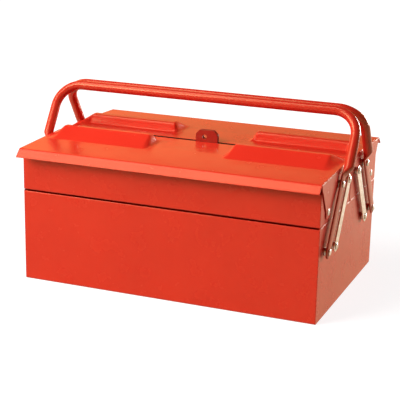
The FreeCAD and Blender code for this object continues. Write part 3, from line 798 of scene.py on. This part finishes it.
@dataclass
class Lid(Maker):
    """One pressed lid with its two pods, its hinge ears and its half of the hasp."""

    side: Side
    fold_overhang: float = 6.6 * MM
    fold_rise: float = 57.6 * MM
    edge_rise: float = 47.8 * MM
    slope_share: float = 0.03
    crease_share: float = 0.5896
    brow_share: float = 0.3500
    ridge_share: float = 0.2813
    foot_share: float = 0.2164
    recess_share: float = 0.4627
    hip_share: float = 0.2239
    brow_rise: float = 72.0 * MM
    ridge_rise: float = 71.2 * MM
    floor_rise: float = 59.2 * MM
    pod_inner: float = 60.5 * MM
    pod_foot: float = 53.0 * MM
    end_margin: float = 2.5 * MM
    end_slope: float = 15.0 * MM
    press_radius: float = 2.2 * MM
    skirt_bend: float = 1.2 * MM
    skirt_tuck: float = 4.0 * MM
    hasp_room: float = 22.0 * MM
    seat_gap: float = 0.3 * MM
    press_steps: Sequence[float] = (-1.0, -0.5, 0.0, 0.5, 1.0)
    press_reach: float = 1.3
    run_on: float = 10.0 * MM
    slope_room: float = 5.0 * MM
    bend_room: float = 4.0 * MM
    length_steps: Sequence[float] = (1.2 * MM, 6.0 * MM, 1.0 * MM, 5.0 * MM)
    depth_steps: Sequence[float] = (2.0 * MM, 0.8 * MM, 1.1 * MM)
    rim_bevel: float = 0.25 * MM
    rim_angle: float = 60.0
    plate_edge: float = 0.3 * MM
    ear_tip: float = 8.5 * MM
    tip_share: float = 0.98
    ear_play: float = 0.05 * MM
    fold_share: float = 0.41
    web_shares: Point = (0.5149, 0.4925)
    web_rise: float = 21.5 * MM
    tab_nick: float = 6.0 * MM
    tab_corners: Point = (0.8 * MM, 2.2 * MM)
    hole_rise: float = 7.0 * MM
    hole_radius: float = 3.0 * MM
    tab_bore: float = 1.2 * MM
    tab_bore_count: int = 16
    tab_bore_spread: float = 11.0 * MM

    def __post_init__(self) -> None:
        """Names the lid's body, and reads its outer limits from the frame."""
        self.body = self.side.word + "_lid"
        low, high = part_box("rear_lid_panel")
        self.lid_end = high.x
        self.edge_y = high.y
        self.inner_y = low.y
        self.skirt_bottom = self.sizes.tray_end_top + self.seat_gap
        self.fold_y = self.sizes.half_depth + self.fold_overhang

    def field_z(self, y: float) -> float:
        """The height of the lid's gently rising field, that far from the middle of the box."""
        return self.sizes.rim + self.fold_rise + (self.fold_y - y) * self.slope_share

    def strip_z(self, y: float, far: float) -> float:
        """The height of the straight strip between the lid's inner edge and its field's start at far."""
        low = self.sizes.rim + self.floor_rise
        return low + (self.field_z(far) - low) * (y - self.inner_y) / (far - self.inner_y)

    def corners(self, form: Form) -> np.ndarray:
        """The corners of the lid's section, from the inner edge to the edge of the lip.

        Args:
            form: Which section.

        Returns:
            Rows of distance from the middle and height, run on a little past both edges.
        """
        s = self.sizes
        crease = s.half_depth * self.crease_share
        recess_front = s.half_depth * self.recess_share
        far = s.half_depth * self.hip_share if form is Form.END else recess_front
        if form is Form.POD:
            foot = s.half_depth * self.foot_share
            inner = [
                (foot, self.strip_z(foot, recess_front)),
                (s.half_depth * self.ridge_share, s.rim + self.ridge_rise),
                (s.half_depth * self.brow_share, s.rim + self.brow_rise),
            ]
        else:
            places = [self.inner_y + (far - self.inner_y) * share / 3 for share in (1, 2, 3)]
            inner = [(y, self.strip_z(y, far)) for y in places]
        edge_z = s.rim + self.edge_rise
        beyond = self.run_on
        fall = (s.rim + self.fold_rise - edge_z) / (self.edge_y - self.fold_y) * beyond
        return np.array([
            (self.inner_y - beyond, self.strip_z(self.inner_y - beyond, far)),
            (self.inner_y, self.strip_z(self.inner_y, far)),
            *inner,
            (crease, self.field_z(crease)),
            (self.fold_y, s.rim + self.fold_rise),
            (self.edge_y, edge_z),
            (self.edge_y + beyond, edge_z - fall),
        ])

    def raw_heights(self, x: float, y: np.ndarray) -> np.ndarray:
        """The unrounded heights of the pressed sheet, across one line of places.

        Args:
            x: The place along the box.
            y: Distances from its middle.

        Returns:
            The height at each distance.
        """
        outer = self.lid_end - self.end_margin
        stations = [
            (0.0, Form.RECESS),
            (self.pod_foot, Form.RECESS),
            (self.pod_inner, Form.POD),
            (outer - self.end_slope, Form.POD),
            (outer, Form.END),
            (2 * outer, Form.END),
        ]
        for (start, first), (stop, last) in zip(stations, stations[1:]):
            if abs(x) <= stop:
                share = (abs(x) - start) / (stop - start)
                mixed = self.corners(first) * (1 - share) + self.corners(last) * share
                return np.interp(y, mixed[:, 0], mixed[:, 1])
        raise ValueError("The place is beyond the lid's end")

    def heights(self, x: float, y: np.ndarray) -> np.ndarray:
        """The heights of the pressed sheet, its bends rounded by averaging over the press radius."""
        total = np.zeros_like(y)
        weights = 0.0
        radius = self.press_radius
        for step_x in self.press_steps:
            for step_y in self.press_steps:
                weight = (self.press_reach - abs(step_x)) * (self.press_reach - abs(step_y))
                total += weight * self.raw_heights(x + step_x * radius, y + step_y * radius)
                weights += weight
        return total / weights

    def stations(self) -> list[float]:
        """Places along the box, close together where the sheet is bent."""
        slope = -(self.lid_end - self.end_margin) + self.end_slope + self.slope_room
        bends = [-self.pod_inner - self.bend_room, -self.pod_foot + self.bend_room]
        half = divided([-self.lid_end, slope, *bends, 0.0], self.length_steps)
        return half + [0.0] + [-x for x in reversed(half)]

    def tucked(self, x: float) -> float:
        """How far the skirt's foot is tucked in there: clear of the hasp, and on a little past the recess."""
        rise = min(1.0, max(0.0, (abs(x) - self.hasp_room) / self.press_radius))
        fall = min(1.0, max(0.0, (self.pod_inner + self.hasp_room - abs(x)) / self.press_radius))
        return self.skirt_tuck * rise * fall

    def build_panel(self) -> None:
        """Makes the pressed sheet: lip, field, pods, recess and the inner skirt."""
        inner = self.inner_y + self.skirt_bend
        places = [self.edge_y, self.fold_y + self.bend_room, self.fold_y - self.bend_room, inner]
        distances = np.array([*divided(places, self.depth_steps), inner])
        draft = Draft()
        rows = []
        for x in self.stations():
            z = self.heights(x, distances)
            row = list(zip(distances, z))
            for angle in quarter(BEND_STEPS, 1):
                drop = self.skirt_bend * (1 - math.cos(angle))
                row.append((inner - self.skirt_bend * math.sin(angle), z[-1] - drop))
            low = row[-1][1]
            for step in (1, 2):
                out = self.inner_y + self.tucked(x) * step / 2
                row.append((out, low + (self.skirt_bottom - low) * step / 2))
            rows.append([Vector((x, self.side.value * y, height)) for y, height in row])
        draft.skin(rows, closed=False, capped=False)
        draft.mesh.normal_update()
        if sum(face.normal.z for face in draft.mesh.faces) < 0:
            bmesh.ops.reverse_faces(draft.mesh, faces=draft.mesh.faces)
        item = draft.piece(self.body + "_pressed", closed=False)
        gauge = item.modifiers.new("gauge", "SOLIDIFY")
        gauge.thickness = self.sizes.sheet
        gauge.offset = -1
        gauge.use_even_offset = True
        rim = item.modifiers.new("rim", "BEVEL")
        rim.width = self.rim_bevel
        rim.segments = 2
        rim.limit_method = "ANGLE"
        rim.angle_limit = math.radians(self.rim_angle)
        self.workshop.hand_over(item, self.body, Slot.LID, self.body + "_panel", flat=False)

    def build_ear(self, end: End) -> None:
        """Makes one hinge ear, a plate below the lid's end that tapers to the pivot.

        Args:
            end: Which end.
        """
        s, sign = self.sizes, self.side.value
        hinge_y, hinge_z = s.hinge
        low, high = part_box("rear_lid_ear_right")
        tip = self.ear_tip
        fold_z = s.rim + self.fold_rise - s.sheet
        inner = self.inner_y + s.sheet
        hip = s.half_depth * self.hip_share
        tip_radius = tip * self.tip_share
        upper, lower = (s.half_depth * share for share in self.web_shares)
        corners = [
            (self.fold_y - self.fold_share * s.sheet, fold_z, 3 * MM),
            (hinge_y + tip, hinge_z, 4 * MM), (hinge_y + tip, hinge_z - tip, tip_radius),
            (hinge_y - tip, hinge_z - tip, tip_radius), (hinge_y - tip, hinge_z, 4 * MM),
            (upper, hinge_z + self.web_rise, 5 * MM), (lower, self.skirt_bottom, 3 * MM),
            (inner, self.skirt_bottom, 1 * MM), (inner, self.strip_z(inner, hip) - s.sheet, 0.5 * MM),
            (hip, self.field_z(hip) - s.sheet, 0.5 * MM),
        ]
        outline = filleted([(sign * y, z, radius) for y, z, radius in corners])
        bore = circle(sign * hinge_y, hinge_z, s.rivet_radius + self.ear_play)
        draft = Draft()
        draft.plate([outline, bore], end.value * low.x, end.value * high.x, self.plate_edge)
        node = self.body + "_ear_" + end.word
        self.workshop.hand_over(draft.piece(node + "_cut"), self.body, Slot.LID, node)

    def build_hasp(self) -> None:
        """Makes the upright tab with the padlock hole."""
        word = self.side.word
        low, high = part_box(word + "_hasp_tab")
        nick = self.tab_nick
        foot, head = self.tab_corners
        outline = filleted([
            (low.x, low.z, foot), (high.x, low.z, foot), (high.x, high.z - nick, head),
            (high.x - nick, high.z, head), (low.x + nick, high.z, head), (low.x, high.z - nick, head),
        ])
        rivet_low, rivet_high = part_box(word + "_hasp_rivets")
        rivet_z = (rivet_low.z + rivet_high.z) / 2
        middle = (low.x + high.x) / 2
        bores = [circle(0.0, self.sizes.rim + self.floor_rise + self.hole_rise, self.hole_radius)]
        for end in End:
            across = middle + end.value * self.tab_bore_spread
            bores.append(circle(across, rivet_z, self.tab_bore, self.tab_bore_count))
        draft = Draft()
        draft.plate([outline, *bores], low.y, high.y, self.plate_edge, along_y)
        self.workshop.hand_over(draft.piece(word + "_hasp_plate"), self.body, Slot.HASP, word + "_hasp_tab")

    def build(self) -> None:
        """Makes the whole lid."""
        self.build_panel()
        for end in End:
            self.build_ear(end)
        self.build_hasp()


@dataclass
class Handle(Maker):
    """One handle: a bent tube whose legs are pressed flat below the taper."""

    side: Side
    tube: float = 6.35 * MM
    bend: float = 33.0 * MM
    grip_y: float = 8.0 * MM
    strap_width: float = 17.0 * MM
    strap_above: float = 9.0 * MM
    taper: float = 15.0 * MM
    flatness: float = 2.7
    count: int = 40
    tail_steps: int = 10
    tail_edge: Point = (0.55, 0.9)
    taper_steps: int = 12
    bend_steps: int = 16

    def ring(self, centre: Point, turn: float, half: Point, power: float) -> list[Vector]:
        """One section across the tube.

        Args:
            centre: Its place along X and along the leg.
            turn: How far the tube's line has turned from the leg's, in radians.
            half: Its half thickness and half width.
            power: 2 for an ellipse, and more for flatter faces.

        Returns:
            The section's points.
        """
        points = []
        for index in range(self.count):
            angle = math.tau * index / self.count
            reach = half[0] * math.copysign(abs(math.cos(angle)) ** (2 / power), math.cos(angle))
            width = half[1] * math.copysign(abs(math.sin(angle)) ** (2 / power), math.sin(angle))
            place = (centre[0] + reach * math.cos(turn), width, centre[1] + reach * math.sin(turn))
            points.append(Vector(place))
        return points

    def leg(self) -> list[list[Vector]]:
        """The sections of the right-hand leg, from its rounded tail up to the middle of the grip."""
        s = self.sizes
        half_strap = (s.strap_thickness / 2, self.strap_width / 2)
        middle = s.strap_x + half_strap[0]
        strap_top = s.arm_length + self.strap_above
        reach = (s.arm_base[0] - self.grip_y) / math.sin(s.lean)
        rings = []
        for step, angle in enumerate(quarter(self.tail_steps, 1), 1):
            thin = half_strap[0] * min(1.0, self.tail_edge[0] + self.tail_edge[1] * step / self.tail_steps)
            half = (thin, half_strap[1] * math.sin(angle))
            rings.append(self.ring((middle, -half_strap[1] * math.cos(angle)), 0.0, half, self.flatness))
        rings.append(self.ring((middle, strap_top), 0.0, half_strap, self.flatness))
        for step in range(1, self.taper_steps + 1):
            share = step / self.taper_steps
            ease = share * share * (3 - 2 * share)
            depth, width = (start + (self.tube - start) * ease for start in half_strap)
            power = self.flatness + (2 - self.flatness) * ease
            centre = (s.strap_x + depth, strap_top + self.taper * share)
            rings.append(self.ring(centre, 0.0, (depth, width), power))
        leg_x = s.strap_x + self.tube
        for angle in quarter(self.bend_steps):
            place = (leg_x - self.bend * (1 - math.cos(angle)), reach - self.bend * (1 - math.sin(angle)))
            rings.append(self.ring(place, angle, (self.tube, self.tube), 2))
        return rings

    def build(self) -> None:
        """Makes the tube from one tail over the grip to the other."""
        right = self.leg()
        left = [[Vector((-p.x, p.y, p.z)) for p in ring] for ring in reversed(right)]
        draft = Draft()
        draft.skin([*right, *left])
        draft.move(self.sizes.leaning(self.side, self.sizes.arm_base))
        name = self.side.word + "_handle"
        self.workshop.hand_over(draft.piece(name + "_tube", sharp=70.0), name, Slot.HANDLE, name, flat=False)


@dataclass
class Link(Maker):
    """One plated link, parallel to the handle's leg beside it."""

    side: Side
    end: End
    arc_steps: int = 14
    edge: float = 0.55 * MM
    play: Point = (0.05 * MM, 0.3 * MM)

    def build(self) -> None:
        """Makes the strip with its round ends and two bores."""
        s = self.sizes
        half = s.link_width / 2
        top = s.arm_length
        arc = [math.pi * step / self.arc_steps for step in range(self.arc_steps + 1)]
        outline = [Vector((half * math.cos(a), top + half * math.sin(a))) for a in arc]
        outline += [Vector((-half * math.cos(a), -half * math.sin(a))) for a in arc]
        bores = [circle(0.0, v, s.rivet_radius + play) for v, play in zip((0.0, top), self.play)]
        draft = Draft()
        sign = self.end.value
        draft.plate([outline, *bores], sign * s.strap_x, sign * (s.strap_x + s.link_thickness), self.edge)
        draft.move(s.leaning(self.side, s.link_base))
        name = "%s_link_%s" % (self.side.word, self.end.word)
        self.workshop.hand_over(draft.piece(name + "_stamped"), name, Slot.LINK, name)


@dataclass
class Fasteners(Maker):
    """The rivets and bushes of the linkage and the lids, one piece for each of the frame's groups.

    The tail's shape is given as shares of its height and of its radius, from its far end to the wall.
    """

    tail_shape: tuple[Point, ...] = ((0.0, 0.02), (0.0, 0.72), (0.25, 0.93), (0.7, 1.0), (1.0, 0.97))
    brim_height: float = 0.18
    brim_width: float = 0.97
    dome_steps: int = 8
    tip: float = 0.02
    hinge_head: float = 0.9 * MM
    bush_nick: float = 0.3 * MM

    def rivet(self, head_start: float, height: float) -> list[Point]:
        """The profile of a rivet: a formed tail inside the wall, a shank and a domed head.

        Args:
            head_start: Where the head starts along X.
            height: How high the head is.

        Returns:
            Places along X with their radii.
        """
        s = self.sizes
        tail = s.wall_x - s.tail_height
        profile = [(tail + s.tail_height * run, s.tail_radius * share) for run, share in self.tail_shape]
        profile += [(s.wall_x, s.rivet_radius), (head_start, s.rivet_radius)]
        brim = height * self.brim_height
        profile += [(head_start, s.head_radius * self.brim_width), (head_start + brim, s.head_radius)]
        for angle in quarter(self.dome_steps, 1):
            place = head_start + brim + (height - brim) * math.sin(angle)
            profile.append((place, max(self.tip, math.cos(angle)) * s.head_radius))
        return profile

    def bush(self) -> list[Point]:
        """The profile of a bush: a short sleeve with its corners taken off."""
        s = self.sizes
        far = s.strap_x - s.side_play
        nick = self.bush_nick
        return [
            (s.end_x, s.rivet_radius), (s.end_x, s.bush_radius - nick), (s.end_x + nick, s.bush_radius),
            (far - nick, s.bush_radius), (far, s.bush_radius - nick), (far, s.rivet_radius),
        ]

    def group(
        self, node: str, body: str, profile: Sequence[Point], pivots: Sequence[Point], sides: Sequence[Side]
    ) -> None:
        """Makes one group of equal turned pieces at both ends of the box.

        Args:
            node: The node that the group stands for.
            body: The body that it moves with.
            profile: The turned profile.
            pivots: Distances from the middle, and heights.
            sides: Which sides it is on.
        """
        draft = Draft()
        for end in End:
            for side in sides:
                for y, z in pivots:
                    draft.turned(profile, side.value * y, z, end)
        self.workshop.hand_over(draft.piece(node + "_turned", sharp=50.0), body, Slot.RIVET, node, flat=False)

    def build(self) -> None:
        """Makes every group."""
        s = self.sizes
        arm = self.rivet(s.strap_x + s.strap_thickness + s.side_play, s.head_height)
        link = self.rivet(s.strap_x + s.link_thickness + s.side_play, s.head_height)
        lid_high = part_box("rear_lid_rivets")[1].x
        hinge = self.rivet(lid_high - self.hinge_head, self.hinge_head)
        bush = self.bush()
        self.group("base_arm_rivets", "base", arm, [s.arm_base], list(Side))
        self.group("base_link_rivets", "base", link, [s.link_base], list(Side))
        self.group("base_bushes", "base", bush, [s.arm_base, s.link_base], list(Side))
        for side in Side:
            body = side.word + "_tray"
            self.group(body + "_arm_rivets", body, arm, [s.arm_tray], [side])
            self.group(body + "_link_rivets", body, link, [s.link_tray], [side])
            self.group(body + "_bushes", body, bush, [s.arm_tray, s.link_tray], [side])
            self.group(side.word + "_lid_rivets", body, hinge, [s.hinge], [side])


@dataclass
class Studio:
    """A plain pale floor, soft light and the camera at the photograph's angle."""

    azimuth: float = 21.497
    elevation: float = 16.834
    roll: float = 1.262
    distance: float = 1.654421
    target_z: float = 0.080
    focal_share: float = 1196.645 / 400
    shift: Point = (3.568 / 400, 14.756 / 400)
    sensor: float = 36.0
    sight: float = 60.0
    aim_z: float = 0.12
    fill: Colour = (0.10, 0.10, 0.105)
    warmth: Colour = (1.42, 0.66, 0.24)
    stops: tuple[Point, ...] = (
        (0.0, 0.42), (0.10, 0.42), (0.22, 0.62), (0.32, 0.66),
        (0.48, 1.05), (0.58, 0.45), (0.68, 0.03), (1.0, 0.05),
    )
    room_strength: Point = (1.6, 0.85)
    room_limits: Point = (-0.50, -0.22)
    floor_half: float = 14.0
    floor_shade: Point = (0.31, 0.33)
    floor_grain: Point = (3.0, 2.0)
    floor_glow: Point = (0.84, 1.0)
    floor_limits: Point = (0.4, 1.6)
    floor_tone: Colour = (1.0, 0.68, 0.40)

    def camera(self) -> None:
        """Places the camera."""
        azimuth, elevation, roll = (math.radians(v) for v in (self.azimuth, self.elevation, self.roll))
        level = math.cos(elevation)
        back = Vector((math.sin(azimuth) * level, -math.cos(azimuth) * level, math.sin(elevation)))
        right = Vector((math.cos(azimuth), math.sin(azimuth), 0.0))
        up = back.cross(right)
        across = right * math.cos(roll) + up * math.sin(roll)
        above = up * math.cos(roll) - right * math.sin(roll)
        data = bpy.data.cameras.new("photo_camera")
        data.sensor_width = self.sensor
        data.lens = self.focal_share * self.sensor
        data.shift_x = -self.shift[0]
        data.shift_y = self.shift[1]
        data.clip_end = self.sight
        item = bpy.data.objects.new("photo_camera", data)
        place = Vector((0.0, 0.0, self.target_z)) + back * self.distance
        turned = Matrix((across, above, back)).transposed().to_4x4()
        item.matrix_world = Matrix.Translation(place) @ turned
        bpy.context.scene.collection.objects.link(item)
        bpy.context.scene.camera = item

    def lamp(self, name: str, place: Triple, size: Point, glow: float, colour: Colour = WHITE) -> None:
        """Hangs one softbox that faces the box.

        Args:
            name: Its name.
            place: Where it hangs, in metres.
            size: Its width and height.
            glow: How bright its face is, where 1 is white.
            colour: The colour of its light.
        """
        data = bpy.data.lights.new(name, "AREA")
        data.shape = "RECTANGLE"
        data.size, data.size_y = size
        data.energy = glow * math.pi * size[0] * size[1]
        data.color = colour
        item = bpy.data.objects.new(name, data)
        item.location = place
        facing = Vector((0.0, 0.0, self.aim_z)) - Vector(place)
        item.rotation_euler = facing.to_track_quat("-Z", "Y").to_euler()
        bpy.context.scene.collection.objects.link(item)

    def world(self) -> None:
        """Plain surroundings: an even fill, and for reflections a warm horizon, brighter to the left."""
        made = bpy.data.worlds.new("studio_room")
        made.use_nodes = True
        bpy.context.scene.world = made
        sheet = NodeSheet(made.node_tree)
        heading = sheet.add("ShaderNodeTexCoord").outputs["Generated"]
        ways = sheet.add("ShaderNodeSeparateXYZ", Vector=heading).outputs
        ramp = sheet.add("ShaderNodeValToRGB", Fac=ways["Z"])
        while len(ramp.color_ramp.elements) < len(self.stops):
            ramp.color_ramp.elements.new(0.5)
        for element, (place, level) in zip(ramp.color_ramp.elements, self.stops):
            element.position = place
            element.color = (*(level * tone for tone in self.warmth), 1.0)
        path = sheet.add("ShaderNodeLightPath").outputs
        mirrored = sheet.sum("MAXIMUM", path["Is Glossy Ray"], path["Is Transmission Ray"])
        strength = sheet.span(ways["X"], *self.room_strength, self.room_limits)
        fill = sheet.add("ShaderNodeBackground", Color=(*self.fill, 1.0), Strength=1.0).outputs[0]
        room = sheet.add("ShaderNodeBackground", Color=ramp.outputs["Color"], Strength=strength).outputs[0]
        white = sheet.add("ShaderNodeBackground", Color=(*WHITE, 1.0), Strength=1.0)
        lower = sheet.add("ShaderNodeMixShader", _0=mirrored, _1=fill, _2=room).outputs[0]
        whole = sheet.add("ShaderNodeMixShader", _0=path["Is Camera Ray"], _1=lower, _2=white.outputs[0])
        sheet.add("ShaderNodeOutputWorld", Surface=whole.outputs[0])

    def floor(self) -> None:
        """Lays the pale floor, brighter to the eye so that it meets the white room, and warm in mirrors."""
        made, sheet, place = blank_material("pale_floor")
        shade = sheet.span(sheet.noise(place, *self.floor_grain), *self.floor_shade, (0.0, 1.0))
        grey = sheet.add("ShaderNodeCombineColor", _0=shade, _1=shade, _2=shade).outputs[0]
        matt = sheet.add("ShaderNodeBsdfDiffuse", Color=grey)
        path = sheet.add("ShaderNodeLightPath").outputs
        away = sheet.add("ShaderNodeVectorMath", {"operation": "LENGTH"}, _0=place).outputs["Value"]
        mirrored = sheet.sum("MAXIMUM", path["Is Glossy Ray"], path["Is Transmission Ray"])
        seen = sheet.sum("MAXIMUM", path["Is Camera Ray"], mirrored)
        glow = sheet.sum("MULTIPLY", seen, sheet.span(away, *self.floor_glow, self.floor_limits))
        tone = sheet.mixed(mirrored, (*WHITE, 1.0), (*self.floor_tone, 1.0))
        lift = sheet.add("ShaderNodeEmission", Color=tone, Strength=glow)
        whole = sheet.add("ShaderNodeAddShader", _0=matt.outputs[0], _1=lift.outputs[0])
        sheet.add("ShaderNodeOutputMaterial", Surface=whole.outputs[0])
        draft = Draft()
        half = self.floor_half
        steps = [-half, -half / 4, half / 4, half]
        draft.skin([[Vector((x, y, 0.0)) for x in steps] for y in steps], closed=False, capped=False)
        item = draft.piece("floor", closed=False)
        item.data.materials.append(made)

    def build(self) -> None:
        """Sets up the camera, the light and the floor."""
        bpy.context.scene.view_settings.view_transform = "Standard"
        self.camera()
        self.world()
        self.floor()
        self.lamp("overhead_softbox", (-0.70, -0.58, 1.72), (1.2, 1.1), 4.3, (1.0, 1.0, 0.95))
        self.lamp("front_softbox", (-1.75, -1.91, 1.56), (1.7, 1.3), 11.2)
        self.lamp("rear_right_light", (1.18, 2.42, 0.27), (1.9, 0.52), 23.0)


def main() -> None:
    """Builds the tool box around the frame, dresses every node and sets the scene."""
    logging.basicConfig(level=logging.INFO, format="%(name)s: %(message)s")
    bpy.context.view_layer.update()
    finishes = Finishes()
    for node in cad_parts.values():
        finishes.dress(node, Slot.RIVET)
    workshop = Workshop(finishes)
    sizes = BoxSizes()
    Studio().build()
    Base(sizes, workshop).build()
    for side in Side:
        Tray(sizes, workshop, side).build()
        Lid(sizes, workshop, side).build()
        Handle(sizes, workshop, side).build()
        for end in End:
            Link(sizes, workshop, side, end).build()
    Fasteners(sizes, workshop).build()


if __name__ == "__main__":
    main()
